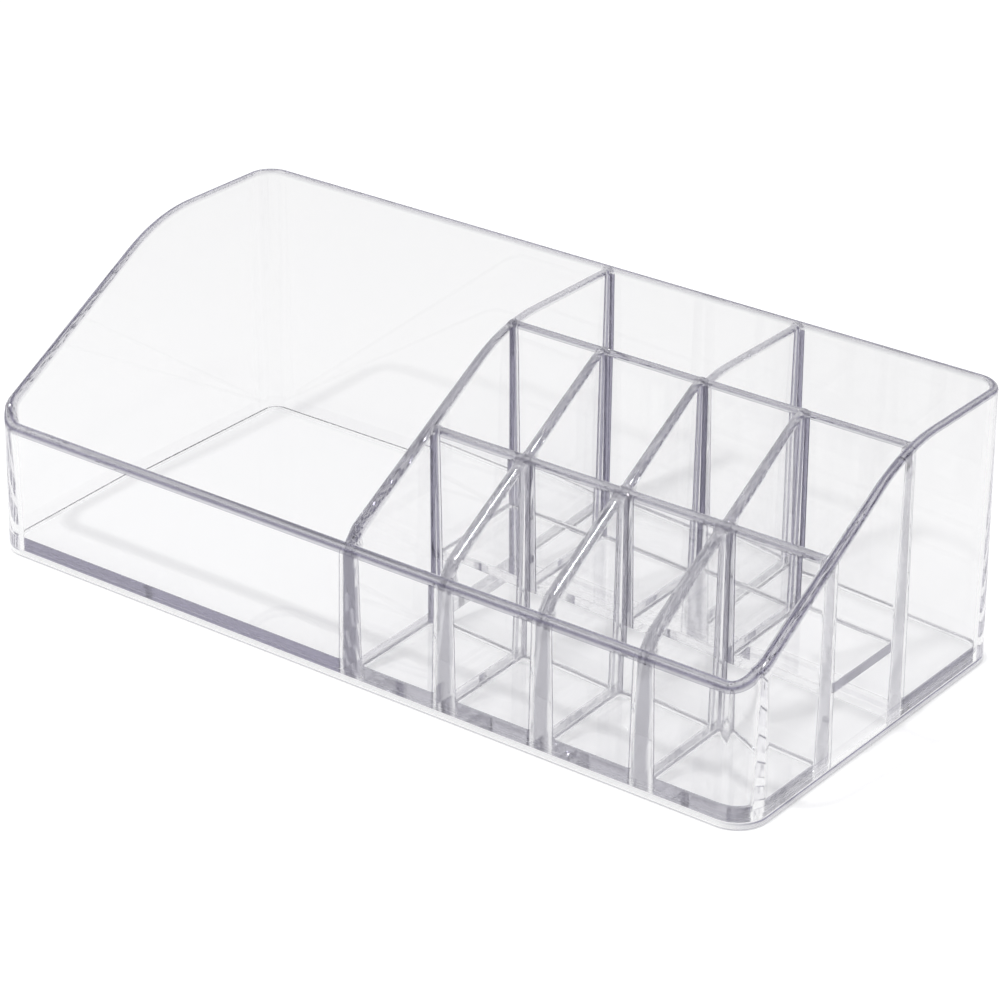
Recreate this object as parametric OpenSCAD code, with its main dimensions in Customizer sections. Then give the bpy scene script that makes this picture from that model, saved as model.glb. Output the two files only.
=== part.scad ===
// Clear vanity organizer: one open tray beside a stepped block of cells.
// Origin at the centre of the base, X to the right, Y to the back, Z up, millimetres.

/* [Overall size] */

// Length of the base, left to right
base_l = 240; // [200:1:290]
// Depth of the base, front to back
base_w = 113; // [100:1:140]
// Height of the back rim above the table
back_h = 75.4; // [64:0.2:95]
// Height of the front rim
front_h = 37.5; // [30:0.5:42]

/* [Walls] */

// Thickness of every wall and divider at the level of the back rim
wall_t = 2.3; // [1.6:0.1:3]
// Lean of the outer faces, widening to the base, in degrees
outer_draft = 0.84; // [0.2:0.02:1.4]
// Lean of each inner face, thickening the walls to the base, in degrees
inner_draft = 1.26; // [0.4:0.02:1.6]
// Outer corner radius at the level of the back rim
corner_r = 7.5; // [6:0.5:14]

/* [Layout] */

// Middle of the main partition, as a share of the length from the left end
partition_share = 0.5; // [0.4:0.01:0.6]
// Middle of the divider behind the front row, as a share of the depth from the front
front_row_share = 0.312; // [0.28:0.002:0.34]
// Middle of the divider before the rear row, as a share of the depth from the front
rear_row_share = 0.6; // [0.54:0.01:0.66]
// Middle of the rear bay divider, as a share of the width of the cell block
rear_bay_share = 0.5; // [0.4:0.05:0.6]

/* [Stepped top edge] */

// Distance from the front of the base to where the edge meets the front rim
foot_setback = 2.3; // [1:0.1:4]
// Distance from the front of the base to the lower end of the slope
nose_setback = 5.5; // [4.5:0.1:8]
// Height of the lower end of the slope above the front rim
nose_rise = 3.9; // [1:0.1:6]
// Distance from the middle of the rear row divider forward to the head of the slope
head_setback = 2.4; // [2:0.1:8]
// Radius of the bend at the top of the slope on the side walls and main partition
bend_r = 50; // [20:1:60]
// Radius of the bend at the top of the slope on the cell dividers
cell_bend_r = 6; // [3:0.5:10]
// How far the front row divider's rim lies below the slope
middle_drop = 0.5; // [0:0.1:3]
// How far the rear row divider's rim lies below the back rim
rear_drop = 0.4; // [0:0.1:3]

/* [Floors] */

// Height of the upper face of the floors that lie at the base
floor_h = 4; // [3.2:0.1:6]
// Height of the upper face of the raised floor under the middle row
raised_h = 22.6; // [16:0.2:28]
// Thickness of the raised floor
raised_t = 2; // [1.4:0.1:3]
// Height of the foot that the outer walls form below the floors
foot_h = 1.4; // [0.8:0.1:2]
// Width of that foot
foot_w = 2.2; // [1.6:0.1:4]

/* [Hidden] */

$fn = 96;

clear_tint = [0.9, 0.92, 0.94, 0.5];
cells = 4;
// How far a cutting shape runs past what it cuts
overrun = 1;
// How far the plan of a wall runs past its corner centres
wall_reach = 30;

outer_lean = tan(outer_draft);
inner_lean = tan(inner_draft);
half_wall = wall_t / 2;

// Half sizes at the level of the back rim
outer_x = base_l / 2 - back_h * outer_lean;
outer_y = base_w / 2 - back_h * outer_lean;
inner_x = outer_x - wall_t;
inner_y = outer_y - wall_t;
inner_r = corner_r - wall_t;
centre_x = outer_x - corner_r;
centre_y = outer_y - corner_r;
foot_r = corner_r + back_h * outer_lean - foot_w;

partition_x = (partition_share - 0.5) * 2 * (outer_x - half_wall);
block_w = outer_x - half_wall - partition_x;
front_row_y = (front_row_share - 0.5) * base_w;
rear_row_y = (rear_row_share - 0.5) * base_w;
rear_bay_x = partition_x + rear_bay_share * block_w;

// Points of the sloping edge, as depth and height
foot_y = foot_setback - base_w / 2;
nose_y = nose_setback - base_w / 2;
nose_h = front_h + nose_rise;
slope_head_y = rear_row_y - head_setback;
slope_rise = (back_h - nose_h) / (slope_head_y - nose_y);
slope_a = atan(slope_rise);
middle_h = nose_h + slope_rise * (front_row_y - nose_y) - middle_drop;
rear_h = back_h - rear_drop;

function cell_x(i) = partition_x + i * block_w / cells;
function half_at(z) = half_wall + (back_h - z) * inner_lean;

// One quarter of a rounded block whose faces lean by the same amount all round, behind and to the
// right of the middle. It is drawn from its corner centre, so that its flat faces run into the corner.
module block_quarter(cx, cy, r_low, r_high, low, high) {
    translate([cx, cy, 0]) {
        rotate([90, 0, 0])
            linear_extrude(height = cy)
                polygon([[-cx, low], [r_low, low], [r_high, high], [-cx, high]]);
        translate([-cx, 0, 0])
            rotate([90, 0, 90])
                linear_extrude(height = cx)
                    polygon([[-cy, low], [r_low, low], [r_high, high], [-cy, high]]);
        translate([0, 0, low])
            cylinder(h = high - low, r1 = r_low, r2 = r_high);
    }
}

// hx, hy and r are the block's half sizes and corner radius at the level of the back rim
module leaning_block(hx, hy, r, lean, low, high) {
    for (mx = [0, 1])
        for (my = [0, 1])
            mirror([mx, 0, 0])
                mirror([0, my, 0])
                    block_quarter(hx - r, hy - r, r + (back_h - low) * lean, r + (back_h - high) * lean, low, high);
}

module outer_block(low, high) {
    leaning_block(outer_x, outer_y, corner_r, outer_lean, low, high);
}

module inner_block(low, high) {
    leaning_block(inner_x, inner_y, inner_r, -inner_lean, low, high);
}

// The side view of the top edge, with a bend of radius r at the head of the slope
module top_edge(r) {
    reach = r * tan(slope_a / 2);
    flat_end = [slope_head_y + reach, back_h];
    slope_end = [slope_head_y - reach * cos(slope_a), back_h - reach * sin(slope_a)];
    centre = [slope_head_y + reach, back_h - r];
    rotate([90, 0, 90])
        linear_extrude(height = 2 * base_l, center = true)
            union() {
                polygon([[-base_w, 0], [base_w, 0], [base_w, back_h], flat_end, slope_end,
                    [nose_y, nose_h], [foot_y, front_h], [-base_w, front_h]]);
                intersection() {
                    translate(centre)
                        circle(r = r);
                    polygon([flat_end, flat_end + [0, wall_reach],
                        slope_end + wall_reach * [-sin(slope_a), cos(slope_a)], slope_end]);
                }
            }
}

// A leaning plate along Y with its middle at x, thinnest at the level of the back rim
module plate_along_y(x) {
    translate([x, 0, 0])
        rotate([90, 0, 0])
            linear_extrude(height = 2 * base_w, center = true)
                polygon([[-half_at(0), 0], [half_at(0), 0], [half_at(back_h), back_h], [-half_at(back_h), back_h]]);
}

// A leaning plate along X with its middle at y
module plate_along_x(y) {
    translate([0, y, 0])
        rotate([90, 0, 90])
            linear_extrude(height = 2 * base_l, center = true)
                polygon([[-half_at(0), 0], [half_at(0), 0], [half_at(back_h), back_h], [-half_at(back_h), back_h]]);
}

// The space on one side of the main partition: 1 for the cell block, -1 for the tray
module beside_partition(side) {
    translate([partition_x, 0, 0])
        rotate([90, 0, 0])
            linear_extrude(height = 2 * base_w, center = true)
                polygon([[side * half_at(0), 0], [side * 2 * base_l, 0], [side * 2 * base_l, back_h],
                    [side * half_at(back_h), back_h]]);
}

// The space before or behind a plate along X: -1 for before, 1 for behind
module beside_row(y, side) {
    translate([0, y, 0])
        rotate([90, 0, 90])
            linear_extrude(height = 2 * base_l, center = true)
                polygon([[side * half_at(0), 0], [side * 2 * base_w, 0], [side * 2 * base_w, back_h],
                    [side * half_at(back_h), back_h]]);
}

module layer(low, high) {
    translate([-base_l, -base_w, low])
        cube([2 * base_l, 2 * base_w, high - low]);
}

// The recess of the underside, inside the foot
module foot_relief() {
    block_relief(centre_x, centre_y, foot_r, -overrun, foot_h);
}

module block_relief(cx, cy, r, low, high) {
    for (mx = [0, 1])
        for (my = [0, 1])
            mirror([mx, 0, 0])
                mirror([0, my, 0])
                    block_quarter(cx, cy, r, r, low, high);
}

// The plan of one outer wall, mitred through the middle of the corners
module wall_plan(turn, cx, cy) {
    rotate([0, 0, turn])
        linear_extrude(height = 2 * back_h)
            polygon([[cx, -cy], [cx + wall_reach, -cy - wall_reach], [cx + wall_reach, cy + wall_reach], [cx, cy]]);
}

module outer_wall(turn, cx, cy) {
    color(clear_tint)
        intersection() {
            difference() {
                outer_block(0, back_h);
                inner_block(-overrun, back_h + overrun);
                foot_relief();
            }
            top_edge(bend_r);
            wall_plan(turn, cx, cy);
        }
}

module front_wall() {
    outer_wall(-90, centre_y, centre_x);
}

module back_wall() {
    outer_wall(90, centre_y, centre_x);
}

module left_wall() {
    outer_wall(180, centre_x, centre_y);
}

module right_wall() {
    outer_wall(0, centre_x, centre_y);
}

module main_partition() {
    color(clear_tint)
        intersection() {
            inner_block(foot_h, back_h);
            plate_along_y(partition_x);
            top_edge(bend_r);
        }
}

module row_divider(y, high) {
    color(clear_tint)
        intersection() {
            inner_block(foot_h, back_h);
            plate_along_x(y);
            beside_partition(1);
            layer(foot_h, high);
        }
}

module front_row_divider() {
    row_divider(front_row_y, middle_h);
}

module rear_row_divider() {
    row_divider(rear_row_y, rear_h);
}

module front_cell_divider(i) {
    color(clear_tint)
        intersection() {
            inner_block(foot_h, back_h);
            plate_along_y(cell_x(i));
            beside_row(front_row_y, -1);
            top_edge(cell_bend_r);
            layer(floor_h, back_h);
        }
}

module front_cell_divider_1() {
    front_cell_divider(1);
}

module front_cell_divider_2() {
    front_cell_divider(2);
}

module front_cell_divider_3() {
    front_cell_divider(3);
}

module middle_cell_divider(i) {
    color(clear_tint)
        intersection() {
            plate_along_y(cell_x(i));
            beside_row(front_row_y, 1);
            beside_row(rear_row_y, -1);
            top_edge(cell_bend_r);
            layer(raised_h, back_h);
        }
}

module middle_cell_divider_1() {
    middle_cell_divider(1);
}

module middle_cell_divider_2() {
    middle_cell_divider(2);
}

module middle_cell_divider_3() {
    middle_cell_divider(3);
}

module rear_bay_divider() {
    color(clear_tint)
        intersection() {
            inner_block(foot_h, back_h);
            plate_along_y(rear_bay_x);
            beside_row(rear_row_y, 1);
            layer(floor_h, back_h);
        }
}

module tray_floor() {
    color(clear_tint)
        intersection() {
            inner_block(foot_h, floor_h);
            beside_partition(-1);
        }
}

module front_row_floor() {
    color(clear_tint)
        intersection() {
            inner_block(foot_h, floor_h);
            beside_partition(1);
            beside_row(front_row_y, -1);
        }
}

module rear_bay_floor() {
    color(clear_tint)
        intersection() {
            inner_block(foot_h, floor_h);
            beside_partition(1);
            beside_row(rear_row_y, 1);
        }
}

module raised_floor() {
    color(clear_tint)
        intersection() {
            inner_block(foot_h, back_h);
            beside_partition(1);
            beside_row(front_row_y, 1);
            beside_row(rear_row_y, -1);
            layer(raised_h - raised_t, raised_h);
        }
}

front_wall();
back_wall();
left_wall();
right_wall();
main_partition();
front_row_divider();
rear_row_divider();
front_cell_divider_1();
front_cell_divider_2();
front_cell_divider_3();
middle_cell_divider_1();
middle_cell_divider_2();
middle_cell_divider_3();
rear_bay_divider();
tray_floor();
front_row_floor();
rear_bay_floor();
raised_floor();
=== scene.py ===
import math

import bmesh
import bpy
from mathutils import Matrix, Vector


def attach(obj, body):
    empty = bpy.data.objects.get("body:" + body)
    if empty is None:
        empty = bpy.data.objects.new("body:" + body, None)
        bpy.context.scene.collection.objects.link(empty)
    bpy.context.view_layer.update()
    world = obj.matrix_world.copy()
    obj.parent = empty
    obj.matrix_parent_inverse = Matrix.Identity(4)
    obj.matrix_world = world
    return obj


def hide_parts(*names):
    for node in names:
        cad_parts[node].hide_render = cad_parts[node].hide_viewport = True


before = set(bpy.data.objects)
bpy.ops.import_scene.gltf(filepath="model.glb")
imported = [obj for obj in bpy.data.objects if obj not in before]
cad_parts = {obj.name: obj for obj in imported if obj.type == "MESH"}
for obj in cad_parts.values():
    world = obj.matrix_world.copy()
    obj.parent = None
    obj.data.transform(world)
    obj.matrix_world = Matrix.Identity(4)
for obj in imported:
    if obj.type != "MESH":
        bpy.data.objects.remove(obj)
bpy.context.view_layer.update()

scene = bpy.context.scene
MM = 0.001

# Sizes of the organizer in millimetres

LENGTH = 240.0
DEPTH = 113.0
BACK_H = 75.4
FRONT_H = 37.5
WALL_T = 2.3
CORNER_R = 7.5
FLOOR_H = 4.0
RAISED_H = 22.6
RAISED_T = 2.0
FOOT_H = 1.4
FOOT_W = 2.2
OUTER_LEAN = math.tan(math.radians(0.84))
INNER_LEAN = math.tan(math.radians(1.26))

OUTER_X = LENGTH / 2 - BACK_H * OUTER_LEAN
OUTER_Y = DEPTH / 2 - BACK_H * OUTER_LEAN
CENTRE_X = OUTER_X - CORNER_R
CENTRE_Y = OUTER_Y - CORNER_R
HALF_RIM = WALL_T / 2
CELLS = 4
BAYS = 2
BLOCK_W = OUTER_X - HALF_RIM
PITCH = BLOCK_W / CELLS
FRONT_ROW_Y = (0.312 - 0.5) * DEPTH
REAR_ROW_Y = (0.6 - 0.5) * DEPTH

# The stepped top edge: up the nose from the front rim, up the slope, and round a bend into the back's level

FOOT_Y = 2.3 - DEPTH / 2
NOSE_Y = 5.5 - DEPTH / 2
NOSE_H = FRONT_H + 3.9
HEAD_Y = REAR_ROW_Y - 2.4
RISE = (BACK_H - NOSE_H) / (HEAD_Y - NOSE_Y)
NOSE_RISE = (NOSE_H - FRONT_H) / (NOSE_Y - FOOT_Y)
SIDE_BEND = 50.0
CELL_BEND = 6.0
MIDDLE_H = NOSE_H + RISE * (FRONT_ROW_Y - NOSE_Y) - 0.5
REAR_H = BACK_H - 0.4

# Air between two pieces that touch, and the fillets where plates end and where they stand on a floor

AIR = 0.04
JOINT_R = 1.0
FLOOR_R = 0.8
TRAY_FILLET = 0.3
FLOOR_CHAMFER = 0.15
WALL_STEPS = 120
CORNER_STEPS = 48
RIM_STEPS = 16
JOINT_STEPS = 7
FILLET_STEPS = 8

# Where a painted shade begins and ends: under a rim, along the foot, and across the end of a plate

RIM_SEAM = 0.2
PAINTED_SHADE_STEP = 0.08
FOOT_EDGE = 0.35
LINE_WIDTH = 0.5
LINE_EDGE = 0.1
END_CORE_SHARE = 0.6
END_EDGE_SHARE = 0.95
RIM_END_FADE = 0.6

# Painted shade of each place, a grey standing for dark lines of bent light, as a share of the fullest painted
# shade

FOOT_PAINTED_SHADE = 0.8
RIGHT_FOOT_PAINTED_BAND = 0.5
RIGHT_FOOT_PAINTED_LINE = 0.95
INSIDE_PAINTED_SHADE = 0.05
TRAY_FRONT_PAINTED_SHADE = 0.95
ROW_FRONT_PAINTED_SHADE = 0.75
ROW_RIGHT_PAINTED_SHADE = 0.7
RIGHT_PAINTED_SHADE = 0.9
FILLET_PAINTED_SHADE = 0.5
JOINT_PAINTED_SHADE = 0.9
RIM_PAINTED_SHADE = 0.48
RIM_PAINTED_LINE = 0.96


# Node trees

class Value:
    """A socket that takes plain arithmetic; each operator adds a Math node."""

    def __init__(self, tree, socket):
        self.tree = tree
        self.socket = socket

    def combine(self, operation, *values):
        node = self.tree.node("ShaderNodeMath", {"operation": operation}, dict(enumerate(values)))
        return Value(self.tree, node.outputs[0])

    def __add__(self, other):
        return self.combine("ADD", self, other)

    def __radd__(self, other):
        return self.combine("ADD", other, self)

    def __sub__(self, other):
        return self.combine("SUBTRACT", self, other)

    def __rsub__(self, other):
        return self.combine("SUBTRACT", other, self)

    def __mul__(self, other):
        return self.combine("MULTIPLY", self, other)

    def __rmul__(self, other):
        return self.combine("MULTIPLY", other, self)

    def __truediv__(self, other):
        return self.combine("DIVIDE", self, other)

    def __rtruediv__(self, other):
        return self.combine("DIVIDE", other, self)

    def sine(self):
        return self.combine("SINE", self)

    def cosine(self):
        return self.combine("COSINE", self)

    def root(self):
        return self.combine("SQRT", self)

    def at_least(self, other):
        return self.combine("MAXIMUM", self, other)

    def at_most(self, other):
        return self.combine("MINIMUM", self, other)

    def over(self, other):
        return self.combine("GREATER_THAN", self, other)

    def matches(self, other):
        return self.combine("COMPARE", self, other, 0.1)

    def magnitude(self):
        return self.combine("ABSOLUTE", self)


class Tree:
    """A node tree with one way to add a node: its type, its settings, and its inputs."""

    def __init__(self, nodes, links):
        self.nodes = nodes
        self.links = links
        self.nodes.clear()

    def node(self, kind, settings=None, inputs=None):
        node = self.nodes.new(kind)
        for name, setting in (settings or {}).items():
            if name == "stops":
                self.set_stops(node.color_ramp.elements, setting)
            else:
                setattr(node, name, setting)
        for name, given in (inputs or {}).items():
            target = node.inputs[name]
            if isinstance(given, Value):
                self.links.new(given.socket, target)
            elif isinstance(given, bpy.types.NodeSocket):
                self.links.new(given, target)
            else:
                target.default_value = given
        return node

    def value(self, kind, output, settings=None, inputs=None):
        return Value(self, self.node(kind, settings, inputs).outputs[output])

    @staticmethod
    def set_stops(stops, wanted):
        while len(stops) < len(wanted):
            stops.new(0.5)
        for stop, (place, colour) in zip(stops, wanted):
            stop.position = place
            stop.color = colour


def shader_tree(owner):
    owner.use_nodes = True
    return Tree(owner.node_tree.nodes, owner.node_tree.links)


# Clear plastic

def clear_plastic_finish():
    """Moulded plastic, clear face on, faintly grey along its length, a little dull on its rims, and greyed
    there by a painted shade standing for the dark lines of bent light.
    """
    finish = bpy.data.materials.new("clear plastic")
    tree = shader_tree(finish)
    place = tree.value("ShaderNodeTexCoord", "Object")
    rim = tree.value("ShaderNodeAttribute", "Fac", {"attribute_name": "rim"})
    haze = tree.value("ShaderNodeTexNoise", "Fac", None, {"Vector": place, "Scale": 160.0, "Detail": 2.0})
    clear = (1.0, 1.0, 1.0, 1.0)
    # Painted shade: a grey mixed into the colour by each point's share, standing for the dark lines light
    # draws in the clear rims, foot, floor sides and plate ends
    painted_rim_shade = (0.05, 0.04, 0.115, 1.0)
    colour = tree.node("ShaderNodeMix", {"data_type": "RGBA"}, {0: rim, 6: clear, 7: painted_rim_shade})
    body = tree.node("ShaderNodeBsdfPrincipled", None, {
        "Base Color": colour.outputs[2],
        "Roughness": haze * 0.02 + rim * 0.06,
        "IOR": 1.49,
        "Transmission Weight": 1.0,
    })
    open_shade = tree.node("ShaderNodeBsdfTransparent", None, {"Color": (0.996, 0.996, 0.998, 1.0)})
    edge_shade = tree.node("ShaderNodeBsdfTransparent", None, {"Color": (0.2, 0.2, 0.22, 1.0)})
    shade = tree.node("ShaderNodeMixShader", None, {
        "Fac": rim,
        1: open_shade.outputs[0],
        2: edge_shade.outputs[0],
    })
    path = tree.node("ShaderNodeLightPath")
    lit = Value(tree, path.outputs["Is Shadow Ray"]).at_least(Value(tree, path.outputs["Is Diffuse Ray"]))
    surface = tree.node("ShaderNodeMixShader", None, {"Fac": lit, 1: body.outputs[0], 2: shade.outputs[0]})
    tint = tree.node("ShaderNodeVolumeAbsorption", None, {"Color": (0.55, 0.53, 0.62, 1.0), "Density": 3.0})
    tree.node("ShaderNodeOutputMaterial", None, {"Surface": surface.outputs[0], "Volume": tint.outputs[0]})
    return finish


clear_plastic = clear_plastic_finish()


def keep_piece(piece, nodes):
    piece.data.materials.clear()
    piece.data.materials.append(clear_plastic)
    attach(piece, "root")
    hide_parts(*nodes)


def mesh_piece(name, points, faces, point_shades, nodes):
    """A piece from points in millimetres; the list after the faces gives each point's share of painted shade.
    """
    mesh = bpy.data.meshes.new(name)
    mesh.from_pydata([(x * MM, y * MM, z * MM) for x, y, z in points], [], faces)
    rim = mesh.attributes.new("rim", "FLOAT", "POINT")
    rim.data.foreach_set("value", point_shades)
    work = bmesh.new()
    work.from_mesh(mesh)
    bmesh.ops.recalc_face_normals(work, faces=work.faces)
    work.to_mesh(mesh)
    work.free()
    piece = bpy.data.objects.new(name, mesh)
    scene.collection.objects.link(piece)
    keep_piece(piece, nodes)


# Lean of the walls and plates

def half_at(z):
    return HALF_RIM + (BACK_H - z) * INNER_LEAN


def outer_step(z):
    return (BACK_H - z) * OUTER_LEAN


def inner_step(z):
    return -WALL_T - (BACK_H - z) * INNER_LEAN


def wall_half(z):
    return (outer_step(z) - inner_step(z)) / 2


def wall_middle(z):
    return (outer_step(z) + inner_step(z)) / 2


def rim_painted_shade(turn):
    """Painted shade across a half-round rim, darker along its top and each side; works on node values too."""
    cosine = (turn * 3.0).cosine() if isinstance(turn, Value) else math.cos(turn * 3.0)
    return RIM_PAINTED_SHADE + (RIM_PAINTED_LINE - RIM_PAINTED_SHADE) * cosine * cosine


def stepped_edge(y, bend):
    """Height of the stepped top edge over a place y; works on numbers and on node values."""
    angle = math.atan(RISE)
    flat_y = HEAD_Y + bend * math.tan(angle / 2)
    arc = bend * math.sin(angle)
    before = flat_y - y
    if isinstance(y, Value):
        turn = before.at_least(0.0).at_most(arc)
        slope = BACK_H - bend + (bend * bend - turn * turn).root() - RISE * (before - arc).at_least(0.0)
        return slope.at_most(NOSE_H - NOSE_RISE * (NOSE_Y - y)).at_least(FRONT_H)
    turn = min(max(before, 0.0), arc)
    slope = BACK_H - bend + math.sqrt(bend * bend - turn * turn) - RISE * max(before - arc, 0.0)
    return max(min(slope, NOSE_H - NOSE_RISE * (NOSE_Y - y)), FRONT_H)


# Outer wall

def ring_stations():
    """Places round the wall with the direction outwards, from the right wall round by the back."""
    stations = []

    def straight(start, end, outwards, steps):
        for i in range(steps):
            share = i / steps
            spot = tuple(a + (b - a) * share for a, b in zip(start, end))
            stations.append((spot, outwards))

    def corner(centre, first):
        for i in range(CORNER_STEPS):
            angle = first + math.pi / 2 * i / CORNER_STEPS
            stations.append((centre, (math.cos(angle), math.sin(angle))))

    right_front = (CENTRE_X, -CENTRE_Y)
    right_back = (CENTRE_X, CENTRE_Y)
    left_back = (-CENTRE_X, CENTRE_Y)
    left_front = (-CENTRE_X, -CENTRE_Y)
    straight(right_front, right_back, (1, 0), WALL_STEPS)
    corner(right_back, 0)
    straight(right_back, left_back, (0, 1), 1)
    corner(left_back, math.pi / 2)
    straight(left_back, left_front, (-1, 0), WALL_STEPS)
    corner(left_front, math.pi)
    straight(left_front, right_front, (0, -1), 1)
    corner(right_front, math.pi * 1.5)
    return stations


def wall_section(spot, outwards):
    """One slice through the wall: its points as (distance outwards, height, share of painted shade)."""
    top = FRONT_H
    for _ in range(8):
        low = top - wall_half(top)
        middle = CORNER_R + wall_middle(low)
        y = spot[1] + outwards[1] * middle
        top = stepped_edge(y, SIDE_BEND)
    slope = (stepped_edge(y + 0.05, SIDE_BEND) - stepped_edge(y - 0.05, SIDE_BEND)) / 0.1 * abs(outwards[0])
    half = wall_half(low)
    rise = half * math.sqrt(1 + slope * slope)
    low = top - rise
    seam = low - RIM_SEAM
    # Painted shade along the foot: a line on its lower edge all round, and on the right wall a painted band
    # and line just above it
    right_side = max(outwards[0], 0.0)
    band = RIGHT_FOOT_PAINTED_BAND * right_side
    line = RIGHT_FOOT_PAINTED_LINE * right_side

    def outer(z, tint):
        return CORNER_R + outer_step(z), z, tint

    def inner(z, tint):
        return CORNER_R + inner_step(z), z, tint

    foot_x = CORNER_R + outer_step(0)
    section = [
        (foot_x, FOOT_EDGE, FOOT_PAINTED_SHADE),
        (foot_x, FOOT_EDGE + PAINTED_SHADE_STEP, band),
        outer(FOOT_H, band),
        outer(FOOT_H + LINE_EDGE, line),
        outer(FOOT_H + LINE_WIDTH, line),
        outer(FOOT_H + LINE_WIDTH + LINE_EDGE, 0.0),
        outer(seam - PAINTED_SHADE_STEP, 0.0),
        outer(seam, RIM_PAINTED_LINE),
    ]
    for i in range(RIM_STEPS + 1):
        angle = math.pi * i / RIM_STEPS
        # The inner side of the rim gets less painted shade
        tint = rim_painted_shade(angle - math.pi / 2) * min(1.0, 1.2 + 0.9 * math.cos(angle))
        section.append((middle + half * math.cos(angle), low + rise * math.sin(angle), tint))
    return section + [
        inner(seam, 0.0),
        inner(seam - PAINTED_SHADE_STEP, 0.0),
        inner(FOOT_H, 0.0),
        (foot_x - FOOT_W, FOOT_H, 0.0),
        (foot_x - FOOT_W, 0.0, 0.0),
        (foot_x - FOOT_EDGE - PAINTED_SHADE_STEP, 0.0, 0.0),
        (foot_x - FOOT_EDGE, 0.0, FOOT_PAINTED_SHADE),
    ]


def outer_wall():
    points = []
    point_shades = []
    faces = []
    stations = ring_stations()
    for spot, outwards in stations:
        section = wall_section(spot, outwards)
        points += [(spot[0] + outwards[0] * out, spot[1] + outwards[1] * out, z) for out, z, _ in section]
        point_shades += [rim for _, _, rim in section]
    count = len(stations)
    size = len(points) // count
    for i in range(count):
        here = i * size
        there = (i + 1) % count * size
        for j in range(size):
            k = (j + 1) % size
            faces.append((here + j, there + j, there + k, here + k))
    mesh_piece("outer_wall", points, faces, point_shades, ["front_wall", "back_wall", "left_wall", "right_wall"])


outer_wall()


# Leaning plates: the partition, the two rows, and the dividers that repeat between them

PLATE_SIZES = {
    "Level Height": BACK_H,
    "Bottom": FOOT_H,
    "Start": 0.0,
    "Start Half": 0.0,
    "Start Rim": 0.0,
    "End": 0.0,
    "End Half": 0.0,
    "End Rim": 0.0,
    # Painted shade on the plate's fillets, across its end and along its rim
    "Start Painted Shade": 0.0,
    "End Painted Shade": JOINT_PAINTED_SHADE,
    "End Core Painted Shade": 0.5,
    "Rim Painted Shade": 0.48,
    "Joint Radius": JOINT_R,
    "Air": AIR,
    "First Place": 0.0,
    "Pitch": 0.0,
}
PLATE_COUNTS = {"Columns": 40, "Plates In Row": 1, "Plate": 0}


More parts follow.
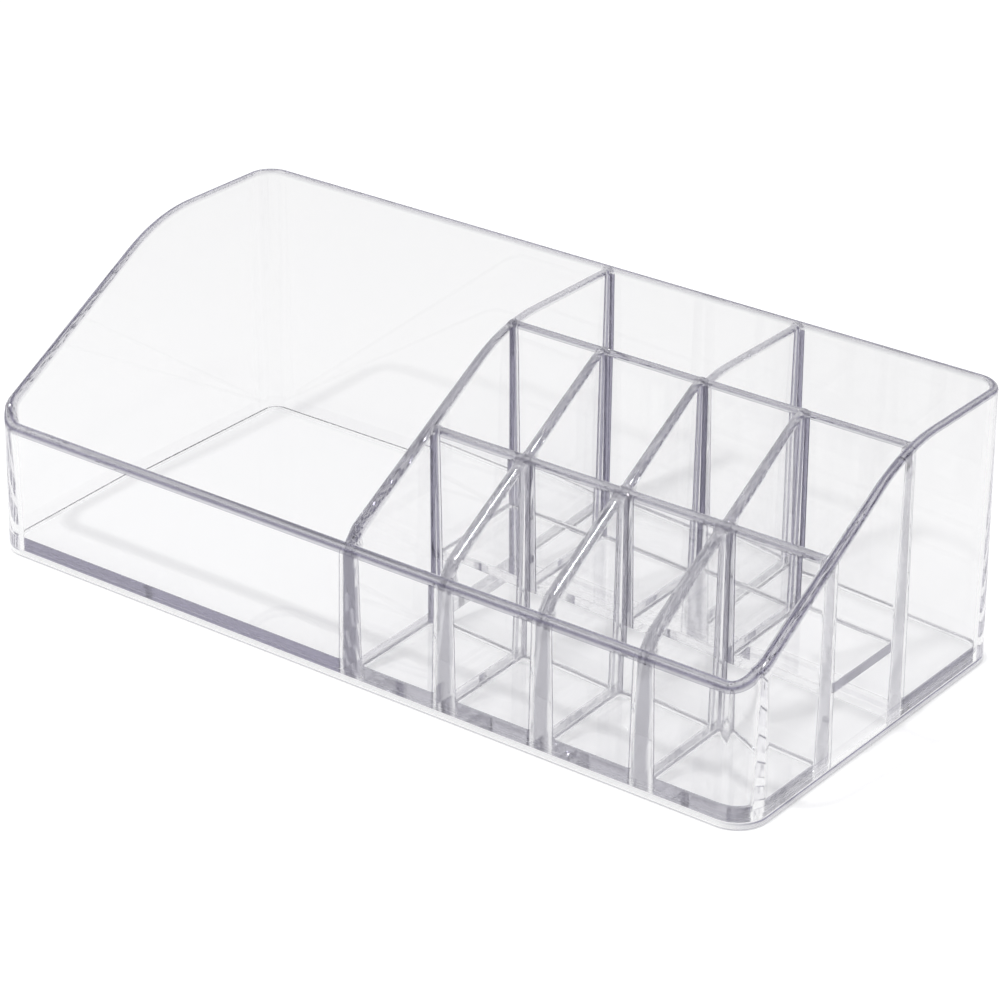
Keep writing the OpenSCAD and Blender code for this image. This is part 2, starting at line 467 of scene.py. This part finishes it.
def plate_tree(name, bend, runs_back):
    """A plate that leans to a rounded rim, flares into its neighbours, and stands in a row of its kind."""
    group = bpy.data.node_groups.new(name, "GeometryNodeTree")
    tree = Tree(group.nodes, group.links)
    for label in PLATE_COUNTS:
        group.interface.new_socket(label, in_out="INPUT", socket_type="NodeSocketInt")
    for label in PLATE_SIZES:
        group.interface.new_socket(label, in_out="INPUT", socket_type="NodeSocketFloat")
    group.interface.new_socket("Finish", in_out="INPUT", socket_type="NodeSocketMaterial")
    group.interface.new_socket("Geometry", in_out="OUTPUT", socket_type="NodeSocketGeometry")
    given = tree.node("NodeGroupInput")

    def size(label):
        return Value(tree, given.outputs[label])

    block = tree.node("GeometryNodeMeshCube", None, {
        "Size": (1.0, 1.0, 1.0),
        "Vertices X": size("Columns"),
        "Vertices Y": RIM_STEPS + 1,
        "Vertices Z": 9,
    })
    spot = tree.node("ShaderNodeSeparateXYZ", None, {0: tree.node("GeometryNodeInputPosition").outputs[0]})
    last_column = size("Columns") - 1.0
    column = (Value(tree, spot.outputs[0]) + 0.5) * last_column
    across = Value(tree, spot.outputs[1]) * 2.0
    # Levels 0 to 6 are the plate's sides, 7 is the seam under the rim, and 8 is the rim
    level = (Value(tree, spot.outputs[2]) + 0.5) * 8.0

    steps = float(JOINT_STEPS)
    radius = size("Joint Radius")
    to_last = last_column - column
    to_end = column.at_most(to_last)
    start_turn = column.at_most(steps) / steps * (math.pi / 2)
    end_turn = to_last.at_most(steps) / steps * (math.pi / 2)
    from_start = radius * (1.0 - start_turn.cosine())
    from_end = radius * (1.0 - end_turn.cosine())
    flare = radius * (2.0 - start_turn.sine() - end_turn.sine())
    share = ((column - steps) / (last_column - 2.0 * steps)).at_least(0.0).at_most(1.0)

    def neighbour(end, sign, z):
        """Where the plate ends at a height, beside its neighbour's leaning face and rounded rim."""
        half = size(end + " Half")
        base = size(end + " Rim") - half
        above = (z - base).at_least(0.0)
        round_part = (half * half - above * above).at_least(0.0).root()
        lean_part = (base - z).at_least(0.0) * INNER_LEAN
        return size(end) + sign * (round_part + lean_part + size("Air"))

    def along(z):
        start = neighbour("Start", 1.0, z)
        end = neighbour("End", -1.0, z)
        return start + from_start + (end - start - 2.0 * radius) * share + radius - from_end

    def edge(place):
        if not runs_back:
            return size("Level Height")
        return stepped_edge(place, bend).at_most(size("Level Height"))

    top_place = along(size("Level Height"))
    top = edge(top_place)
    rim_half = HALF_RIM + (BACK_H - top) * INNER_LEAN
    rise = rim_half
    if runs_back:
        steepness = (edge(top_place + 0.05) - edge(top_place - 0.05)) / 0.1
        rise = rim_half * (1.0 + steepness * steepness).root()
    base = top - rise
    on_seam = level.over(6.5)
    on_rim = level.over(7.5)
    side_top = base - RIM_SEAM - PAINTED_SHADE_STEP
    side_height = size("Bottom") + (side_top - size("Bottom")) * (level / 6.0).at_most(1.0)
    side_height = side_height + on_seam * PAINTED_SHADE_STEP + on_rim * RIM_SEAM
    turn = across * (math.pi / 2)
    height = side_height + on_rim * rise * turn.cosine()
    half = HALF_RIM + (BACK_H - side_height) * INNER_LEAN + flare
    sideways = half * (across + on_rim * (turn.sine() - across))
    forwards = along(height)
    places = (sideways, forwards) if runs_back else (forwards, sideways)
    side = 0 if runs_back else 1
    moved = tree.node("ShaderNodeCombineXYZ", None, {0: places[0] * MM, 1: places[1] * MM, 2: height * MM})
    # Painted shade stored on the points: along the rim and its seam, across the plate's ends and on its
    # fillets, less near the ends
    below_rim = 1.0 - on_seam
    off_centre = across.magnitude()
    end_core_shade = (1.0 - off_centre.over(END_CORE_SHARE)) * size("End Core Painted Shade")
    end_shade = (1.0 - to_end.over(0.5)) * (end_core_shade + off_centre.over(END_EDGE_SHARE))
    start_fillet = column.over(0.5) * (1.0 - column.over(steps - 0.5))
    end_fillet = to_last.over(0.5) * (1.0 - to_last.over(steps - 0.5))
    fillet_shade = start_fillet * size("Start Painted Shade") + end_fillet * size("End Painted Shade")
    near_end = 1.0 - (to_end / steps).at_most(1.0)
    rim_shade = (on_seam - on_rim) * RIM_PAINTED_LINE + on_rim * rim_painted_shade(turn)
    rim_shade = rim_shade * size("Rim Painted Shade") * (1.0 - RIM_END_FADE * near_end)
    marked = tree.node("GeometryNodeStoreNamedAttribute", {"data_type": "FLOAT", "domain": "POINT"}, {
        "Geometry": block.outputs["Mesh"],
        "Name": "rim",
        "Value": rim_shade.at_least(end_shade * below_rim).at_least(fillet_shade * below_rim),
    })
    shaped = tree.node("GeometryNodeSetPosition", None, {
        "Geometry": marked.outputs[0],
        "Position": moved.outputs[0],
    })
    outside_out = tree.node("GeometryNodeFlipFaces", None, {0: shaped.outputs[0], "Selection": runs_back})
    first = tree.node("ShaderNodeCombineXYZ", None, {side: size("First Place") * MM})
    step = tree.node("ShaderNodeCombineXYZ", None, {side: size("Pitch") * MM})
    row = tree.node("GeometryNodeMeshLine", None, {
        "Count": size("Plates In Row"),
        "Start Location": first.outputs[0],
        "Offset": step.outputs[0],
    })
    number = tree.value("GeometryNodeInputIndex", 0)
    stands = tree.node("GeometryNodeInstanceOnPoints", None, {
        "Points": row.outputs[0],
        "Selection": number.matches(size("Plate")),
        "Instance": outside_out.outputs[0],
    })
    solid = tree.node("GeometryNodeRealizeInstances", None, {0: stands.outputs[0]})
    finished = tree.node("GeometryNodeSetMaterial", None, {
        "Geometry": solid.outputs[0],
        "Material": size("Finish"),
    })
    tree.node("NodeGroupOutput", None, {0: finished.outputs[0]})
    return group


def plate(name, group, counts, sizes):
    """Makes one plate with a tree's named inputs and keeps it as a plain mesh."""
    piece = bpy.data.objects.new(name, bpy.data.meshes.new(name + " start"))
    scene.collection.objects.link(piece)
    maker = piece.modifiers.new("plate", "NODES")
    maker.node_group = group
    wanted = {**PLATE_COUNTS, **PLATE_SIZES, "Finish": clear_plastic, **counts, **sizes}
    for item in group.interface.items_tree:
        if item.in_out == "INPUT":
            maker[item.identifier] = wanted[item.name]
    view = bpy.context.evaluated_depsgraph_get()
    mesh = bpy.data.meshes.new_from_object(piece.evaluated_get(view))
    piece.modifiers.clear()
    piece.data = mesh
    mesh.name = name
    keep_piece(piece, [name])


def wall_end(end, sign, outer, top):
    low = top - wall_half(top)
    return {end: sign * (outer + wall_middle(low)), end + " Half": wall_half(low), end + " Rim": top}


def plate_end(end, place, top):
    return {end: place, end + " Half": half_at(top - half_at(top)), end + " Rim": top}


side_plates = plate_tree("side plate", SIDE_BEND, True)
cell_plates = plate_tree("cell plate", CELL_BEND, True)
row_plates = plate_tree("row plate", SIDE_BEND, False)

front_end = wall_end("Start", -1, OUTER_Y, FRONT_H)
back_end = wall_end("End", 1, OUTER_Y, BACK_H)
plate("main_partition", side_plates, {"Columns": 120}, {"End Core Painted Shade": 0.8, **front_end, **back_end})

for name, y, top in (("front_row_divider", FRONT_ROW_Y, MIDDLE_H), ("rear_row_divider", REAR_ROW_Y, REAR_H)):
    side_top = stepped_edge(y, SIDE_BEND)
    plate(name, row_plates, {"Columns": 20}, {
        "Level Height": top,
        "First Place": y,
        "Start Painted Shade": JOINT_PAINTED_SHADE,
        "End Painted Shade": 0.0,
        "End Core Painted Shade": 0.3,
        "Rim Painted Shade": 0.85,
        **plate_end("Start", 0.0, side_top),
        **wall_end("End", 1, OUTER_X, side_top),
    })

for number in range(CELLS - 1):
    row = {"Plates In Row": CELLS - 1, "Plate": number}
    places = {"First Place": PITCH, "Pitch": PITCH}
    plate("front_cell_divider_%d" % (number + 1), cell_plates, {**row, "Columns": 60}, {
        **places,
        "End Painted Shade": 0.65,
        **front_end,
        **plate_end("End", FRONT_ROW_Y, MIDDLE_H),
    })
    plate("middle_cell_divider_%d" % (number + 1), cell_plates, {**row, "Columns": 80}, {
        **places,
        "Bottom": RAISED_H - RAISED_T,
        "Start Painted Shade": JOINT_PAINTED_SHADE,
        **plate_end("Start", FRONT_ROW_Y, MIDDLE_H),
        **plate_end("End", REAR_ROW_Y, REAR_H),
    })

plate("rear_bay_divider", side_plates, {"Columns": 30}, {
    "First Place": BLOCK_W / BAYS,
    **plate_end("Start", REAR_ROW_Y, REAR_H),
    **back_end,
})


# Floors, each turned up by a fillet into the faces round it

def corner_steps(radius):
    return 24 if radius > 2 else 8


def outline_shades(radii, side_shades):
    """Painted shade of each point round a floor, from that of its left, right, front and back sides."""
    left, right, front, back = side_shades
    starts = ((left, front), (front, right), (right, back), (back, left))
    floor_shades = []
    for (first, last), radius in zip(starts, radii):
        steps = corner_steps(radius)
        floor_shades += [first if 2 * i < steps else last for i in range(steps + 1)]
    return floor_shades


def dish(sides, radii, low, high, side_shades, fillet=FLOOR_R):
    """A floor between four leaning faces; radii go round from the left front corner, painted shade goes by
    side.
    """
    left, right, front, back = sides
    corners = (
        (left, front, math.pi),
        (right, front, math.pi * 1.5),
        (right, back, 0.0),
        (left, back, math.pi / 2),
    )

    def outline(inset, z):
        grow = (z - high) * INNER_LEAN - AIR - inset
        points = []
        for (x, y, first), radius in zip(corners, radii):
            steps = corner_steps(radius)
            centre_x = x + radius if x == left else x - radius
            centre_y = y + radius if y == front else y - radius
            for i in range(steps + 1):
                angle = first + math.pi / 2 * i / steps
                reach = radius + grow
                points.append((centre_x + reach * math.cos(angle), centre_y + reach * math.sin(angle), z))
        return points

    rings = [outline(FLOOR_CHAMFER, low), outline(0.0, low), outline(0.0, high + fillet)]
    for i in range(1, FILLET_STEPS + 1):
        turn = math.pi / 2 * i / FILLET_STEPS
        rings.append(outline(fillet * (1 - math.cos(turn)), high + fillet * (1 - math.sin(turn))))
    size = len(rings[0])
    points = [point for ring in rings for point in ring]
    faces = []
    for here in range(len(rings) - 1):
        for j in range(size):
            k = (j + 1) % size
            faces.append((here * size + j, here * size + k, (here + 1) * size + k, (here + 1) * size + j))
    faces.append(tuple(reversed(range(size))))
    faces.append(tuple(range((len(rings) - 1) * size, len(rings) * size)))
    # A painted shade line along the middle of each floor's fillet, none on the tray's thinner fillet
    line = FILLET_PAINTED_SHADE if fillet == FLOOR_R else 0.0
    floor_shades = [0.0] * size + outline_shades(radii, side_shades) * 2
    for i in range(FILLET_STEPS):
        floor_shades += [line if 2 <= i < FILLET_STEPS - 2 else 0.0] * size
    return points, faces, floor_shades


def floor_piece(name, dishes):
    points = []
    faces = []
    floor_shades = []
    for dish_points, dish_faces, dish_shades in dishes:
        first = len(points)
        points += dish_points
        faces += [tuple(first + i for i in face) for face in dish_faces]
        floor_shades += dish_shades
    mesh_piece(name, points, faces, floor_shades, [name])


def cell_sides(z, count):
    """The left and right faces of each cell across the block at a height."""
    width = BLOCK_W / count
    sides = [(i * width + half_at(z), (i + 1) * width - half_at(z)) for i in range(count)]
    sides[-1] = (sides[-1][0], OUTER_X + inner_step(z))
    return sides


# Painted shade on a floor's left, right, front and back sides
def painted_side_shades(right, front=INSIDE_PAINTED_SHADE):
    return INSIDE_PAINTED_SHADE, right, front, INSIDE_PAINTED_SHADE


def floors():
    inner_x = OUTER_X + inner_step(FLOOR_H)
    inner_y = OUTER_Y + inner_step(FLOOR_H)
    shell_r = CORNER_R + inner_step(FLOOR_H)
    small = JOINT_R + FLOOR_R

    tray = (-inner_x, -half_at(FLOOR_H), -inner_y, inner_y)
    tray_shades = painted_side_shades(INSIDE_PAINTED_SHADE, TRAY_FRONT_PAINTED_SHADE)
    floor_piece("tray_floor", [
        dish(tray, (shell_r, small, small, shell_r), FOOT_H, FLOOR_H, tray_shades, TRAY_FILLET),
    ])

    row_face = FRONT_ROW_Y - half_at(FLOOR_H)
    dishes = []
    for i, (left, right) in enumerate(cell_sides(FLOOR_H, CELLS)):
        last = i == CELLS - 1
        radii = (small, shell_r if last else small, small, small)
        row_shades = painted_side_shades(ROW_RIGHT_PAINTED_SHADE if last else INSIDE_PAINTED_SHADE, ROW_FRONT_PAINTED_SHADE)
        dishes.append(dish((left, right, -inner_y, row_face), radii, FOOT_H, FLOOR_H, row_shades))
    floor_piece("front_row_floor", dishes)

    bay_face = REAR_ROW_Y + half_at(FLOOR_H)
    dishes = []
    for i, (left, right) in enumerate(cell_sides(FLOOR_H, BAYS)):
        last = i == BAYS - 1
        radii = (small, small, shell_r if last else small, small)
        bay_shades = painted_side_shades(RIGHT_PAINTED_SHADE if last else INSIDE_PAINTED_SHADE)
        dishes.append(dish((left, right, bay_face, inner_y), radii, FOOT_H, FLOOR_H, bay_shades))
    floor_piece("rear_bay_floor", dishes)

    front_face = FRONT_ROW_Y + half_at(RAISED_H)
    back_face = REAR_ROW_Y - half_at(RAISED_H)
    dishes = []
    for i, (left, right) in enumerate(cell_sides(RAISED_H, CELLS)):
        cell_shades = painted_side_shades(RIGHT_PAINTED_SHADE if i == CELLS - 1 else INSIDE_PAINTED_SHADE)
        sides = (left, right, front_face, back_face)
        dishes.append(dish(sides, (small,) * 4, RAISED_H - RAISED_T, RAISED_H, cell_shades))
    floor_piece("raised_floor", dishes)


floors()


# Table

def table_finish():
    finish = bpy.data.materials.new("white table")
    tree = shader_tree(finish)
    place = tree.value("ShaderNodeTexCoord", "Object")
    grain = tree.value("ShaderNodeTexNoise", "Fac", None, {"Vector": place, "Scale": 40.0, "Detail": 2.0})
    paint = tree.node("ShaderNodeBsdfDiffuse", None, {
        "Color": (0.9, 0.9, 0.9, 1.0),
        "Roughness": grain * 0.1,
    })
    path = tree.node("ShaderNodeLightPath")
    seen = Value(tree, path.outputs["Is Camera Ray"]) + Value(tree, path.outputs["Is Glossy Ray"])
    through = Value(tree, path.outputs["Is Transmission Ray"])
    lift = tree.node("ShaderNodeEmission", None, {
        "Color": (1.0, 1.0, 1.0, 1.0),
        "Strength": seen * 0.28 - through * 0.22,
    })
    both = tree.node("ShaderNodeAddShader", None, {0: paint.outputs[0], 1: lift.outputs[0]})
    tree.node("ShaderNodeOutputMaterial", None, {"Surface": both.outputs[0]})
    return finish


def table():
    reach = 6.0
    mesh = bpy.data.meshes.new("table")
    corners = [(-reach, -reach, 0), (reach, -reach, 0), (reach, reach, 0), (-reach, reach, 0)]
    mesh.from_pydata(corners, [], [(0, 1, 2, 3)])
    mesh.materials.append(table_finish())
    top = bpy.data.objects.new("table", mesh)
    scene.collection.objects.link(top)


table()


# Studio light: a white room with a dimmer side where the camera stands, a key lamp and a weak second one

def studio():
    world = bpy.data.worlds.new("studio")
    scene.world = world
    tree = shader_tree(world)
    path = tree.node("ShaderNodeLightPath")
    way = tree.value("ShaderNodeTexCoord", "Generated")
    toward = tree.node("ShaderNodeVectorMath", {"operation": "DOT_PRODUCT"}, {0: way, 1: (0.5, -0.75, 0.43)})
    white = (1.0, 1.0, 1.0, 1.0)
    dim = (0.6, 0.6, 0.62, 1.0)
    room = tree.node("ShaderNodeValToRGB", {"stops": [(0.45, white), (1.0, dim)]}, {
        "Fac": Value(tree, toward.outputs["Value"]) * 0.5 + 0.5,
    })
    soft = tree.node("ShaderNodeBackground", None, {"Color": room.outputs[0], "Strength": 0.72})
    backdrop = tree.node("ShaderNodeBackground", None, {"Color": room.outputs[0], "Strength": 1.0})
    through = Value(tree, path.outputs["Is Transmission Ray"])
    mixed = tree.node("ShaderNodeMixShader", None, {
        "Fac": Value(tree, path.outputs["Is Camera Ray"]).at_least(through),
        1: soft.outputs[0],
        2: backdrop.outputs[0],
    })
    tree.node("ShaderNodeOutputWorld", None, {"Surface": mixed.outputs[0]})


def lamp(name, place, size, power):
    light = bpy.data.lights.new(name, "AREA")
    light.shape = "DISK"
    light.size = size
    light.energy = power
    holder = bpy.data.objects.new(name, light)
    holder.location = place
    holder.rotation_euler = (-Vector(place)).to_track_quat("-Z", "Y").to_euler()
    scene.collection.objects.link(holder)


studio()
lamp("key lamp", (-0.22, -0.75, 1.42), 0.1, 10.0)
lamp("second lamp", (0.5, -0.22, 1.45), 0.16, 2.0)


# Camera, solved from the straight edges in the photograph

def camera():
    lens = bpy.data.cameras.new("camera")
    lens.sensor_fit = "HORIZONTAL"
    lens.sensor_width = 36.0
    lens.lens = 129.506
    lens.clip_start = 0.05
    lens.clip_end = 50.0
    holder = bpy.data.objects.new("camera", lens)
    azimuth = math.radians(37.216)
    elevation = math.radians(26.32)
    roll = math.radians(0.358)
    level_part = math.cos(elevation)
    back = Vector((math.sin(azimuth) * level_part, -math.cos(azimuth) * level_part, math.sin(elevation)))
    level = Vector((math.cos(azimuth), math.sin(azimuth), 0.0))
    upright = back.cross(level)
    right = math.cos(roll) * level + math.sin(roll) * upright
    up = math.cos(roll) * upright - math.sin(roll) * level
    place = Vector((0.50243, -0.65443, 0.43661))
    holder.matrix_world = Matrix.Translation(place) @ Matrix((right, up, back)).transposed().to_4x4()
    scene.collection.objects.link(holder)
    scene.camera = holder


camera()

scene.view_settings.view_transform = "Standard"

# Light passes through up to a dozen walls and plates, and runs on inside each of them

BOUNCES = 64
scene.cycles.max_bounces = BOUNCES
scene.cycles.transmission_bounces = BOUNCES
scene.cycles.glossy_bounces = BOUNCES
scene.cycles.transparent_max_bounces = BOUNCES
